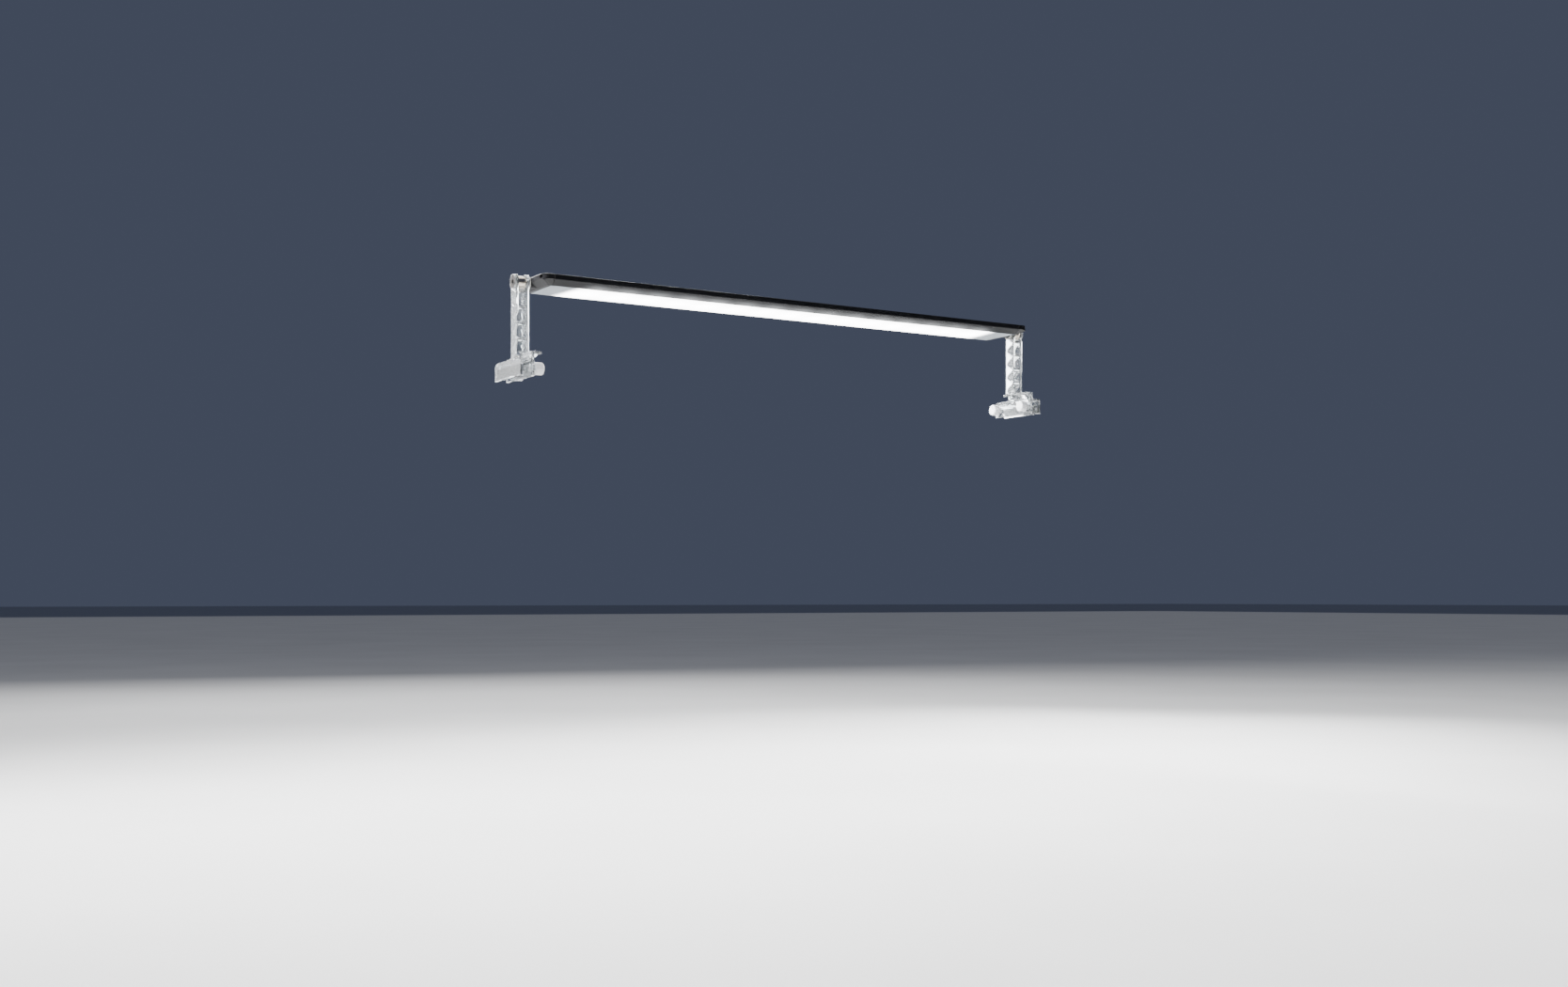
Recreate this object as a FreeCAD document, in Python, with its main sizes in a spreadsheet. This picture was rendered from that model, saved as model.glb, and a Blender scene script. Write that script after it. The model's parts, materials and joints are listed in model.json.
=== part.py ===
import FreeCAD, Part
import math
import os
import re

import Sketcher
from FreeCAD import Placement, Rotation, Vector

# LED aquarium light: a slim lamp body that spans a small tank. It is hinged at both ends on clear
# arms, and each arm stands on a clear clamp that grips the tank's side glass.
# Frame: millimetres, +X along the lamp to its right end, +Y to the rear, +Z up. The origin is on the
# table under the middle of the lamp, between the two clamps.

# Driving dimensions: name, value, what it is.
SIZES = [
    ("arm_centre", 217.6, "middle plane of an arm from the lamp's middle"),
    ("hinge_height", 66.8, "hinge axis above the table"),
    ("lamp_length", 422.8, "lamp body with both end caps"),
    ("lamp_width", 50.0, "lamp body, front to rear"),
    ("lamp_thick", 6.8, "lamp body, top to window"),
    ("lip_thick", 3.6, "thin edge of the lamp body"),
    ("lip_round", 0.8, "rounding of the lip's edges"),
    ("deck_thick", 1.6, "top wall of the extruded body"),
    ("belly_half", 18.6, "half width of the flat underside, where the belly slope ends"),
    ("mouth_half", 17.4, "half width of the channel's mouth"),
    ("groove_half", 18.7, "half width of the grooves that hold the window"),
    ("groove_low", 0.8, "bottom of the grooves above the underside"),
    ("groove_high", 2.0, "top of the grooves above the underside"),
    ("rib_width", 1.4, "width of a cooling groove on the deck"),
    ("rib_depth", 0.5, "depth of a cooling groove"),
    ("rib_pitch", 3.0, "distance between cooling grooves"),
    ("rib_first", -20.0, "first cooling groove, from the lamp's middle"),
    ("cap_length", 8.4, "end cap along the lamp"),
    ("cap_corner", 5.0, "plan radius of the end cap's corners"),
    ("cap_slope", 6.4, "length of the slope under the end cap's lip"),
    ("gasket_thick", 0.8, "end cap gasket"),
    ("gasket_inset", 0.4, "gasket in from the lip's edges"),
    ("gasket_tuck", 0.2, "gasket in from the belly"),
    ("boss_radius", 3.35, "boss round the hinge screw in the end cap"),
    ("screw_side", 21.2, "end cap screws, sideways from the lamp's middle"),
    ("screw_rise", 1.6, "end cap screws above the hinge axis"),
    ("cap_screw_radius", 0.8, "end cap screw's shank"),
    ("cap_head_radius", 1.4, "end cap screw's head"),
    ("cap_head_thick", 1.2, "end cap screw's head"),
    ("cap_head_depth", 2.8, "depth of the head's recess from the cap's end"),
    ("cap_screw_length", 14.0, "end cap screw under its head"),
    ("screw_room", 0.1, "room round a screw in its clearance hole"),
    ("screw_drive", 0.7, "across the corners of a small hex socket, halved, and its depth"),
    ("window_gap", 0.2, "gap between the window and the mouth, on each side"),
    ("window_proud", 0.2, "how far the window stands out of the underside"),
    ("window_play", 0.1, "room above and below the window's flange"),
    ("pad_thick", 0.3, "heat pad under the deck"),
    ("board_thick", 1.0, "LED board"),
    ("board_length", 400.0, "LED board"),
    ("board_width", 32.0, "LED board"),
    ("chip_size", 3.0, "side of an LED chip"),
    ("chip_thick", 0.8, "height of an LED chip"),
    ("chip_pitch", 24.0, "distance between LED chips"),
    ("sheet_thick", 0.3, "reflector sheet"),
    ("sheet_hole", 4.0, "side of a chip's window in the reflector sheet"),
    ("resistor_side", 6.0, "resistors, sideways from the chips"),
    ("inlet_x", 165.0, "middle of the inlet housing along the lamp"),
    ("inlet_length", 52.0, "inlet housing along the lamp"),
    ("inlet_width", 16.0, "inlet housing, front to rear"),
    ("inlet_rear", 23.0, "rear face of the inlet housing"),
    ("inlet_tall", 6.0, "inlet housing above its gasket"),
    ("inlet_wall", 1.4, "walls of the inlet housing"),
    ("inlet_roof", 1.2, "top wall of the inlet housing"),
    ("inlet_seal", 0.5, "gasket under the inlet housing"),
    ("post_inset", 3.6, "screw posts in from the inlet housing's ends"),
    ("post_radius", 2.4, "screw posts"),
    ("inlet_screw_radius", 1.0, "inlet screw's shank"),
    ("inlet_head_radius", 1.7, "inlet screw's head"),
    ("inlet_head_thick", 1.0, "inlet screw's head, flush in the roof"),
    ("cross_long", 1.0, "half length of the inlet screw's cross"),
    ("cross_wide", 0.22, "half width of that cross"),
    ("cross_deep", 0.6, "depth of that cross"),
    ("deck_skin", 0.2, "deck left under an inlet screw"),
    ("post_gap", 0.1, "posts short of the inlet's top, inside its roof"),
    ("seal_land", 5.8, "end lands of the inlet gasket"),
    ("jack_x", 178.0, "power jack along the lamp"),
    ("jack_rise", 2.85, "power jack above the deck"),
    ("jack_radius", 2.3, "power jack's body"),
    ("jack_bore", 1.75, "socket of the power jack"),
    ("jack_depth", 8.0, "depth of the socket"),
    ("jack_length", 11.0, "power jack's body"),
    ("jack_pin", 0.65, "centre pin of the power jack"),
    ("nut_radius", 2.8, "ring nut of the power jack"),
    ("nut_thick", 1.5, "ring nut of the power jack"),
    ("nut_slot", 0.4, "half width of the ring nut's spanner slot"),
    ("nut_slot_deep", 0.7, "depth of that slot"),
    ("pin_root", 0.5, "jack's pin into the bottom of its socket"),
    ("pin_recess", 0.8, "jack's pin behind its mouth"),
    ("driver_length", 27.0, "driver board"),
    ("driver_width", 12.0, "driver board"),
    ("driver_rise", 1.0, "driver board above the deck"),
    ("driver_start", 6.5, "driver board from the inlet housing's end"),
    ("driver_gap", 0.4, "driver board from the front wall"),
    ("coil_radius", 2.8, "choke on the driver board"),
    ("coil_tall", 2.2, "choke on the driver board"),
    ("coil_far", 20.0, "choke from the board's left end"),
    ("coil_deep", 6.5, "choke from the board's front edge"),
    ("chip_far", 10.6, "driver chip from the board's left end"),
    ("chip_deep", 1.2, "driver chip from the board's front edge"),
    ("chip_long", 5.0, "driver chip"),
    ("chip_wide", 4.0, "driver chip"),
    ("chip_tall", 1.4, "driver chip"),
    ("capacitor_start", 1.0, "capacitors from the board's left end and front edge"),
    ("capacitor_pitch", 3.2, "spacing of the capacitors"),
    ("capacitor_long", 2.0, "capacitor"),
    ("capacitor_wide", 1.2, "capacitor"),
    ("capacitor_tall", 1.0, "capacitor"),
    ("pin_below", 0.5, "header pins below the LED board"),
    ("pin_above", 0.8, "header pins above the driver board"),
    ("link_x", 150.0, "pin header along the lamp"),
    ("link_y", 14.0, "pin header to the rear of the lamp's middle"),
    ("link_long", 5.6, "pin header's block"),
    ("link_wide", 3.0, "pin header's block"),
    ("link_gap", 0.2, "room round the pin header in the deck"),
    ("pin_room", 0.08, "room round a pin in a board"),
    ("link_pin", 0.32, "radius of a header pin"),
    ("link_pitch", 2.54, "distance between the header pins"),
    ("arm_half", 4.6, "half width of an arm across its two side plates"),
    ("arm_depth", 9.6, "arm, front to rear"),
    ("plate_thick", 1.5, "side plate of an arm"),
    ("ear_half", 5.4, "half width across the two ears"),
    ("ear_thick", 2.6, "one ear"),
    ("ear_radius", 5.3, "round ear"),
    ("ear_bore", 2.05, "bore of the ears and the sleeve"),
    ("recess_radius", 4.6, "recess of the screw head in the outer ear"),
    ("recess_depth", 1.6, "recess of the screw head in the outer ear"),
    ("web_thick", 1.4, "wavy web between the side plates"),
    ("web_swing", 3.2, "height of the web's waves each way"),
    ("web_low", 18.0, "bottom of the web above the table"),
    ("web_high", 61.8, "top of the web above the table"),
    ("web_waves", 4, "number of waves"),
    ("foot_top", 18.6, "top of the solid foot block above the table"),
    ("foot_flange", 1.4, "flange round the arm's foot"),
    ("flange_out", 6.6, "flange to the outside of the arm's middle plane"),
    ("flange_half", 7.0, "half length of the flange along the glass"),
    ("sleeve_radius", 4.2, "metal sleeve between the ears"),
    ("shank_radius", 2.0, "shoulder of the hinge screw"),
    ("thread_radius", 1.5, "threaded end of the hinge screw"),
    ("thread_length", 6.2, "threaded end of the hinge screw"),
    ("hinge_head_radius", 4.3, "head of the hinge screw"),
    ("hinge_head_thick", 1.1, "head of the hinge screw"),
    ("hinge_socket", 1.6, "across the corners of the hex socket, halved"),
    ("hinge_socket_depth", 0.8, "depth of the hex socket"),
    ("spring_thick", 0.3, "spring washer under the head"),
    ("spring_gap", 0.2, "gap under the spring washer"),
    ("insert_radius", 2.4, "brass insert in the end cap"),
    ("insert_length", 6.0, "brass insert in the end cap"),
    ("insert_inset", 0.2, "insert below the cap's end"),
    ("insert_end", 0.4, "room behind the insert"),
    ("friction_thick", 0.5, "friction washer on the cap's end"),
    ("friction_radius", 4.6, "friction washer on the cap's end"),
    ("clamp_length", 45.0, "clamp along the glass"),
    ("clamp_tall", 12.4, "clamp from the table to its shoulder"),
    ("clamp_plate", 2.1, "top plate of the clamp"),
    ("shoulder_round", 3.0, "rounded ends of the clamp's shoulder"),
    ("cheek_round", 1.0, "rounded ends of the cheeks' lower edges"),
    ("outer_face", 9.2, "outside of the outer cheek from the arm's middle plane"),
    ("outer_thick", 1.8, "outer cheek"),
    ("inner_face", 1.0, "slot side of the inner cheek from the arm's middle plane"),
    ("inner_thick", 2.2, "inner cheek"),
    ("ledge_top", 17.0, "top of the ledge that carries the arm's inner side"),
    ("ledge_thick", 1.4, "ledge"),
    ("ledge_inside", -6.9, "inside edge of the ledge from the arm's middle plane"),
    ("ledge_rear", 6.0, "rear end of the ledge from the arm's middle"),
    ("ledge_corner", 1.2, "rounded inside corners of the ledge"),
    ("wall_low", 6.0, "bottom of the wall that joins the ledge to the inner cheek"),
    ("rib_wide", 1.6, "rib under the ledge"),
    ("rib_drop", 4.4, "height of a rib"),
    ("rib_reach", 4.0, "reach of a rib"),
    ("rib_front", 19.0, "front rib, from the arm's middle to the front"),
    ("rib_middle", 4.0, "second rib, from the arm's middle to the front"),
    ("rib_bite", 0.2, "how far a rib runs into its neighbours"),
    ("foot_recess", 0.5, "recess for the arm's foot in the top plate"),
    ("foot_gap", 0.1, "room round the foot in its recess"),
    ("foot_screw_out", 3.1, "foot screw from the arm's middle plane"),
    ("foot_screw_radius", 1.1, "foot screw's shank"),
    ("foot_screw_head", 2.0, "foot screw's countersunk head"),
    ("foot_screw_sink", 1.0, "depth of the countersink"),
    ("foot_screw_length", 5.8, "foot screw with its head"),
    ("foot_cross_long", 1.0, "half length of the foot screw's cross"),
    ("foot_cross_wide", 0.25, "half width of that cross"),
    ("foot_cross_deep", 0.7, "depth of that cross"),
    ("foot_pilot_end", 0.6, "pilot hole beyond the foot screw"),
    ("foot_screw_room", 0.05, "room round the foot screw in the clamp"),
    ("pad_face", 7.0, "glass side of the soft pad from the arm's middle plane"),
    ("pad_half", 20.0, "half length of the soft pad"),
    ("pad_low", 1.6, "bottom of the soft pad"),
    ("pad_high", 8.0, "top of the soft pad"),
    ("knob_side", 17.5, "thumbscrews to each side of the arm's middle"),
    ("knob_height", 5.8, "thumbscrews above the table"),
    ("knob_radius", 4.3, "thumbscrew's head"),
    ("knob_length", 6.1, "thumbscrew's head"),
    ("knob_gap", 1.7, "open thread between the head and the inner cheek"),
    ("knob_round", 0.6, "rounded edges of the head"),
    ("flute_radius", 0.5, "grip flutes round the head"),
    ("flute_out", 0.4, "share of a flute's radius that its centre stands outside the head"),
    ("stem_radius", 2.0, "thumbscrew's thread"),
    ("stem_hole", 2.06, "hole in the inner cheek"),
    ("stem_end", 1.4, "end of the thread from the arm's middle plane"),
    ("neck_radius", 1.0, "neck that carries the tip"),
    ("neck_end", 2.0, "end of the neck from the arm's middle plane"),
    ("tip_back", 1.6, "back of the soft tip from the arm's middle plane"),
    ("tip_face", 2.4, "face of the soft tip from the arm's middle plane"),
    ("tip_bore", 1.06, "bore of the soft tip"),
    ("tip_bore_end", 2.2, "end of that bore"),
    ("tip_radius", 2.4, "soft tip"),
]

CHIP_COUNT = 17
RESISTOR_COUNT = 6
CHIPS_PER_RESISTOR = 3
RESISTOR_SIZE = (1.6, 0.8, 0.5)
RIB_COUNT = 8
FLUTE_COUNT = 14
CAPACITOR_COUNT = 3
WAVE_STEPS = 12

# Often used places, as expressions of the sheet's names.
TOP = "(hinge_height + lamp_thick / 2)"
UNDER = "(hinge_height - lamp_thick / 2)"
LIP_LOW = "(hinge_height + lamp_thick / 2 - lip_thick)"
DECK_LOW = "(hinge_height + lamp_thick / 2 - deck_thick)"
BOARD_TOP = "(hinge_height + lamp_thick / 2 - deck_thick - pad_thick)"
BOARD_LOW = "(hinge_height + lamp_thick / 2 - deck_thick - pad_thick - board_thick)"
LAMP_END = "(lamp_length / 2)"
BODY_END = "(lamp_length / 2 - cap_length - gasket_thick)"
INLET_LOW = "(hinge_height + lamp_thick / 2 + inlet_seal)"
INLET_TOP = "(hinge_height + lamp_thick / 2 + inlet_seal + inlet_tall)"
INLET_FRONT = "(inlet_rear - inlet_width)"
POST_Y = "(inlet_rear - inlet_width + post_inset)"
DRIVER_LOW = "(hinge_height + lamp_thick / 2 + driver_rise)"
PLATE_LOW = "(clamp_tall - clamp_plate)"
RECESS_FLOOR = "(arm_centre + ear_half - recess_depth)"
LEDGE_LOW = "(ledge_top - ledge_thick)"
HEAD_LOW = "(arm_centre + ear_half - recess_depth + spring_gap + spring_thick)"

doc = FreeCAD.newDocument("aquarium_light")
sheet = doc.addObject("Spreadsheet::Sheet", "sizes")
for row, (name, amount, note) in enumerate(SIZES, start=1):
    sheet.set(f"A{row}", name)
    sheet.set(f"B{row}", str(amount))
    sheet.set(f"C{row}", note)
    sheet.setAlias(f"B{row}", name)
doc.recompute()

NUMBERS = {name: amount for name, amount, note in SIZES}
NODES = []
CUTS = []


def formula(text):
    """Turn a text such as "lamp_width / 2" into an expression that reads the sheet."""
    def named(word):
        return f"sizes.{word.group(0)}" if word.group(0) in NUMBERS else word.group(0)
    return re.sub(r"[a-z][a-z_]+", named, str(text))


def bind(item, **properties):
    """Bind properties to the sheet; a double underscore stands for the dot in a property's path."""
    for path, text in properties.items():
        item.setExpression(path.replace("__", "."), formula(text))


def move(item, x="0", y="0", z="0"):
    bind(item, Placement__Base__x=x, Placement__Base__y=y, Placement__Base__z=z)
    return item


def node(item, label):
    """Name a finished sub-part; its file takes this name."""
    item.Label = label
    NODES.append(item)
    return item


# ---------------------------------------------------------------- Part primitives

def block(name, low, high):
    """Box between two corners, each given as three texts."""
    item = doc.addObject("Part::Box", name)
    sides = [f"({top}) - ({bottom})" for bottom, top in zip(low, high)]
    bind(item, Length=sides[0], Width=sides[1], Height=sides[2])
    return move(item, *low)


TURNS = {
    "x": Rotation(Vector(0, 1, 0), 90),
    "y": Rotation(Vector(1, 0, 0), -90),
    "z": Rotation(),
}


def rod(name, axis, start, length, radius):
    """Cylinder that starts at a point and runs along +axis."""
    item = doc.addObject("Part::Cylinder", name)
    item.Placement = Placement(Vector(), TURNS[axis])
    bind(item, Radius=radius, Height=length)
    return move(item, *start)


def ring(name, axis, start, length, radius, bore):
    outside = rod(f"{name}_outside", axis, start, length, radius)
    inside = rod(f"{name}_bore", axis, start, length, bore)
    return cut(name, outside, inside)


def hexagon(name, start, depth, radius):
    """Hexagonal prism along +X."""
    item = doc.addObject("Part::Prism", name)
    item.Polygon = 6
    item.Placement = Placement(Vector(), TURNS["x"])
    bind(item, Circumradius=radius, Height=depth)
    return move(item, *start)


def fuse(name, *items):
    joined = doc.addObject("Part::MultiFuse", name)
    joined.Shapes = list(items)
    return joined


def cut(name, base, *tools):
    result = doc.addObject("Part::Cut", name)
    result.Base = base
    result.Tool = tools[0] if len(tools) == 1 else fuse(f"{name}_tools", *tools)
    return result


def group(name, items):
    """Several separate solids that share one node."""
    gathered = doc.addObject("Part::Compound", name)
    gathered.Links = list(items)
    return gathered


def mirrored(item, name):
    """The left-hand copy of a right-hand piece."""
    other = doc.addObject("Part::Mirroring", name)
    other.Source = item
    other.Normal = Vector(1, 0, 0)
    return other


def both_sides(item, stem):
    """Name a right-hand piece and make its left-hand copy."""
    node(item, f"{stem}_right")
    node(mirrored(item, f"{stem}_left"), f"{stem}_left")


def out(text):
    """Place measured outwards from the arm's middle plane."""
    return f"arm_centre + ({text})"


# ---------------------------------------------------------------- PartDesign helpers

def origin_plane(body, role):
    return next(item for item in body.Origin.OriginFeatures if item.Role == role)


def new_body(name):
    return doc.addObject("PartDesign::Body", name)


def new_sketch(body, name, role, lift="0"):
    """Sketch on one of the body's origin planes, moved along the plane's normal by lift."""
    sketch = body.newObject("Sketcher::SketchObject", name)
    sketch.AttachmentSupport = [(origin_plane(body, role), "")]
    sketch.MapMode = "FlatFace"
    bind(sketch, AttachmentOffset__Base__z=lift)
    return sketch


def pin_point(sketch, shape_index, point, x, y, start):
    """Tie a point of the sketch to the origin by two distances that read the sheet."""
    for kind, text, amount in (("DistanceX", x, start.x), ("DistanceY", y, start.y)):
        index = sketch.addConstraint(Sketcher.Constraint(kind, -1, 1, shape_index, point, amount))
        label = f"{kind}{shape_index}"
        sketch.renameConstraint(index, label)
        sketch.setExpression(f"Constraints.{label}", formula(text))


def outline(sketch, corners):
    """Closed outline of straight edges through corners given as pairs of texts."""
    count = len(corners)
    first = sketch.GeometryCount
    angles = [2 * math.pi * (index + 0.5) / count for index in range(count)]
    spots = [Vector(10 * math.cos(angle), 10 * math.sin(angle), 0) for angle in angles]
    for index in range(count):
        edge = Part.LineSegment(spots[index], spots[(index + 1) % count])
        sketch.addGeometry(edge, False)
    for index in range(count):
        following = first + (index + 1) % count
        sketch.addConstraint(Sketcher.Constraint("Coincident", first + index, 2, following, 1))
    for index, (x, y) in enumerate(corners):
        pin_point(sketch, first + index, 1, x, y, spots[index])


def rectangle(sketch, low, high):
    outline(sketch, [low, (high[0], low[1]), high, (low[0], high[1])])


def circle(sketch, x, y, radius):
    start = Vector(5 + sketch.GeometryCount, 5, 0)
    index = sketch.addGeometry(Part.Circle(start, Vector(0, 0, 1), 1.0), False)
    label = f"Radius{index}"
    spot = sketch.addConstraint(Sketcher.Constraint("Radius", index, 1.0))
    sketch.renameConstraint(spot, label)
    sketch.setExpression(f"Constraints.{label}", formula(radius))
    pin_point(sketch, index, 3, x, y, start)


def pad(body, name, sketch, length, side="One side", reverse=False):
    feature = body.newObject("PartDesign::Pad", name)
    feature.Profile = sketch
    feature.SideType = side
    feature.Reversed = reverse
    bind(feature, Length=length)
    return feature


def pocket(body, name, sketch, length, side="One side", reverse=False):
    """Pocket that must remove material; the check is made once, before export."""
    feature = body.newObject("PartDesign::Pocket", name)
    feature.Profile = sketch
    feature.SideType = side
    feature.Reversed = reverse
    bind(feature, Length=length)
    CUTS.append(feature)
    return feature


def edges_at(shape, test):
    """Names of the edges whose middle point passes the test."""
    names = []
    for number, edge in enumerate(shape.Edges, start=1):
        middle = edge.valueAt((edge.FirstParameter + edge.LastParameter) / 2)
        if test(edge, middle):
            names.append(f"Edge{number}")
    return names


def fillet(body, name, radius, test):
    """Fillet on the edges of the body's tip that pass the test."""
    doc.recompute()
    base = body.Tip
    names = edges_at(base.Shape, test)
    if not names:
        raise ValueError(f"{name}: no edge found")
    feature = body.newObject("PartDesign::Fillet", name)
    feature.Base = (base, names)
    bind(feature, Radius=radius)
    return feature


# ---------------------------------------------------------------- lamp body

def lamp_outline(closed):
    """Corners of the lamp's cross-section, front to rear; the closed one has no channel."""
    side = [
        ("lamp_width / 2", TOP),
        ("lamp_width / 2", LIP_LOW),
        ("belly_half", UNDER),
    ]
    if not closed:
        side += [
            ("mouth_half", UNDER),
            ("mouth_half", f"{UNDER} + groove_low"),
            ("groove_half", f"{UNDER} + groove_low"),
            ("groove_half", f"{UNDER} + groove_high"),
            ("mouth_half", f"{UNDER} + groove_high"),
            ("mouth_half", DECK_LOW),
        ]
    return side + [(f"-({y})", z) for y, z in reversed(side)]


def is_lip_edge(edge, middle):
    """Long edges at the front and rear of the lip."""
    half = NUMBERS["lamp_width"] / 2
    runs_along = edge.Length > NUMBERS["gasket_thick"]
    straight = abs(edge.tangentAt(edge.FirstParameter).x) > 0.99
    return runs_along and straight and abs(abs(middle.y) - half) < 0.01


def make_lamp_housing():
    body = new_body("lamp_housing")
    section = new_sketch(body, "housing_section", "YZ_Plane")
    outline(section, lamp_outline(closed=False))
    pad(body, "housing_extrusion", section, f"2 * {BODY_END}", side="Symmetric")
    fillet(body, "housing_lip_round", "lip_round", is_lip_edge)

    groove = new_sketch(body, "cooling_groove", "YZ_Plane")
    rectangle(
        groove,
        ("rib_first - rib_width / 2", f"{TOP} - rib_depth"),
        ("rib_first + rib_width / 2", f"{TOP} + 1"),
    )
    first_rib = pocket(body, "cooling_groove_cut", groove, "lamp_length", side="Symmetric")
    ribs = body.newObject("PartDesign::LinearPattern", "cooling_grooves")
    ribs.Originals = [first_rib]
    ribs.Direction = (origin_plane(body, "Y_Axis"), [""])
    ribs.Mode = "Spacing"
    ribs.Occurrences = RIB_COUNT
    bind(ribs, Offset="rib_pitch")
    body.Tip = ribs

    holes = new_sketch(body, "cap_screw_holes", "YZ_Plane", f"{BODY_END}")
    for sign in ("-", ""):
        circle(holes, f"{sign}screw_side", "hinge_height + screw_rise", "cap_screw_radius")
    pocket(body, "right_screw_holes", holes, "cap_screw_length")
    left_holes = new_sketch(body, "left_cap_screw_holes", "YZ_Plane", f"-{BODY_END}")
    for sign in ("-", ""):
        circle(left_holes, f"{sign}screw_side", "hinge_height + screw_rise", "cap_screw_radius")
    pocket(body, "left_screw_holes", left_holes, "cap_screw_length", reverse=True)

    deck = new_sketch(body, "deck_openings", "XY_Plane", TOP)
    for sign in ("-", "+"):
        x = f"inlet_x {sign} (inlet_length / 2 - post_inset)"
        circle(deck, x, POST_Y, "inlet_screw_radius")
    pocket(body, "inlet_screw_holes", deck, "deck_thick - deck_skin")
    slot = new_sketch(body, "link_slot", "XY_Plane", TOP)
    rectangle(
        slot,
        ("link_x - link_long / 2 - link_gap", "link_y - link_wide / 2 - link_gap"),
        ("link_x + link_long / 2 + link_gap", "link_y + link_wide / 2 + link_gap"),
    )
    pocket(body, "link_slot_cut", slot, "deck_thick")
    node(body, "lamp_housing")


def make_end_cap():
    body = new_body("end_cap")
    section = new_sketch(body, "cap_section", "YZ_Plane", f"{LAMP_END} - cap_length")
    outline(section, lamp_outline(closed=True))
    pad(body, "cap_block", section, "cap_length")

    slope = new_sketch(body, "cap_end_slope", "XZ_Plane")
    outline(slope, [
        (f"{LAMP_END} - cap_slope", UNDER),
        (LAMP_END, LIP_LOW),
        (f"{LAMP_END} + 1", LIP_LOW),
        (f"{LAMP_END} + 1", f"{UNDER} - 1"),
        (f"{LAMP_END} - cap_slope", f"{UNDER} - 1"),
    ])
    pocket(body, "cap_end_slope_cut", slope, "lamp_width + 10", side="Symmetric")

    def is_plan_corner(edge, middle):
        upright = abs(edge.tangentAt(edge.FirstParameter).z) > 0.99
        outer = abs(middle.x - NUMBERS["lamp_length"] / 2) < 0.01
        return upright and outer and abs(abs(middle.y) - NUMBERS["lamp_width"] / 2) < 0.01

    fillet(body, "cap_corner_round", "cap_corner", is_plan_corner)

    def is_top_rim(edge, middle):
        on_top = abs(middle.z - NUMBERS["hinge_height"] - NUMBERS["lamp_thick"] / 2) < 0.01
        joint = NUMBERS["lamp_length"] / 2 - NUMBERS["cap_length"]
        return on_top and middle.x > joint + 0.1

    fillet(body, "cap_top_round", "lip_round", is_top_rim)

    boss = new_sketch(body, "hinge_boss", "YZ_Plane", f"{LAMP_END} - cap_length")
    circle(boss, "0", "hinge_height", "boss_radius")
    pad(body, "hinge_boss_pad", boss, "cap_length")
    bore = new_sketch(body, "insert_bore", "YZ_Plane", LAMP_END)
    circle(bore, "0", "hinge_height", "insert_radius")
    pocket(body, "insert_bore_cut", bore, "insert_inset + insert_length + insert_end")

    through = new_sketch(body, "screw_ways", "YZ_Plane", LAMP_END)
    sinks = new_sketch(body, "screw_recesses", "YZ_Plane", LAMP_END)
    for sign in ("-", ""):
        circle(through, f"{sign}screw_side", "hinge_height + screw_rise", "cap_screw_radius + screw_room")
        circle(sinks, f"{sign}screw_side", "hinge_height + screw_rise", "cap_head_radius + screw_room")
    pocket(body, "screw_ways_cut", through, "cap_length")
    pocket(body, "screw_recesses_cut", sinks, "cap_head_depth")
    both_sides(body, "end_cap")


def make_cap_gasket():
    body = new_body("cap_gasket")
    section = new_sketch(body, "gasket_section", "YZ_Plane", BODY_END)
    side = [
        ("lamp_width / 2 - gasket_inset", f"{TOP} - gasket_inset"),
        ("lamp_width / 2 - gasket_inset", f"{LIP_LOW} + gasket_tuck"),
        ("belly_half - gasket_tuck", f"{UNDER} + gasket_tuck"),
    ]
    outline(section, side + [(f"-({y})", z) for y, z in reversed(side)])
    pad(body, "gasket_sheet", section, "gasket_thick")
    holes = new_sketch(body, "gasket_holes", "YZ_Plane", BODY_END)
    for sign in ("-", ""):
        circle(holes, f"{sign}screw_side", "hinge_height + screw_rise", "cap_screw_radius + screw_room")
    pocket(body, "gasket_holes_cut", holes, "gasket_thick", reverse=True)
    both_sides(body, "cap_gasket")


def make_cap_screws():
    """Four pan-head screws that draw the end caps onto the body."""
    screws = []
    height = "hinge_height + screw_rise"
    for index, sign in enumerate(("-", "")):
        side = f"{sign}screw_side"
        seat = f"{LAMP_END} - cap_head_depth"
        shank = rod(f"cap_shank_{index}", "x", (f"{seat} - cap_screw_length", side, height),
                    "cap_screw_length", "cap_screw_radius")
        head = rod(f"cap_head_{index}", "x", (seat, side, height), "cap_head_thick", "cap_head_radius")
        drive = hexagon(f"cap_drive_{index}", (f"{seat} + cap_head_thick - screw_drive", side, height),
                        "1", "screw_drive")
        screw = cut(f"cap_screw_{index}", fuse(f"cap_screw_blank_{index}", shank, head), drive)
        screws += [screw, mirrored(screw, f"cap_screw_left_{index}")]
    node(group("cap_screws", screws), "cap_screws")


def make_window():
    body = new_body("diffuser_window")
    section = new_sketch(body, "window_section", "YZ_Plane")
    face = "mouth_half - window_gap"
    flange = "groove_half - window_gap"
    side = [
        (face, f"{UNDER} - window_proud"),
        (face, f"{UNDER} + groove_low + window_play"),
        (flange, f"{UNDER} + groove_low + window_play"),
        (flange, f"{UNDER} + groove_high - window_play"),
    ]
    outline(section, side + [(f"-({y})", z) for y, z in reversed(side)])
    pad(body, "window_extrusion", section, f"2 * {BODY_END}", side="Symmetric")

    def is_face_edge(edge, middle):
        low = NUMBERS["hinge_height"] - NUMBERS["lamp_thick"] / 2 - NUMBERS["window_proud"]
        return abs(middle.z - low) < 0.01 and edge.Length > NUMBERS["lamp_width"]

    fillet(body, "window_edge_round", "window_proud", is_face_edge)
    node(body, "diffuser_window")


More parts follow.
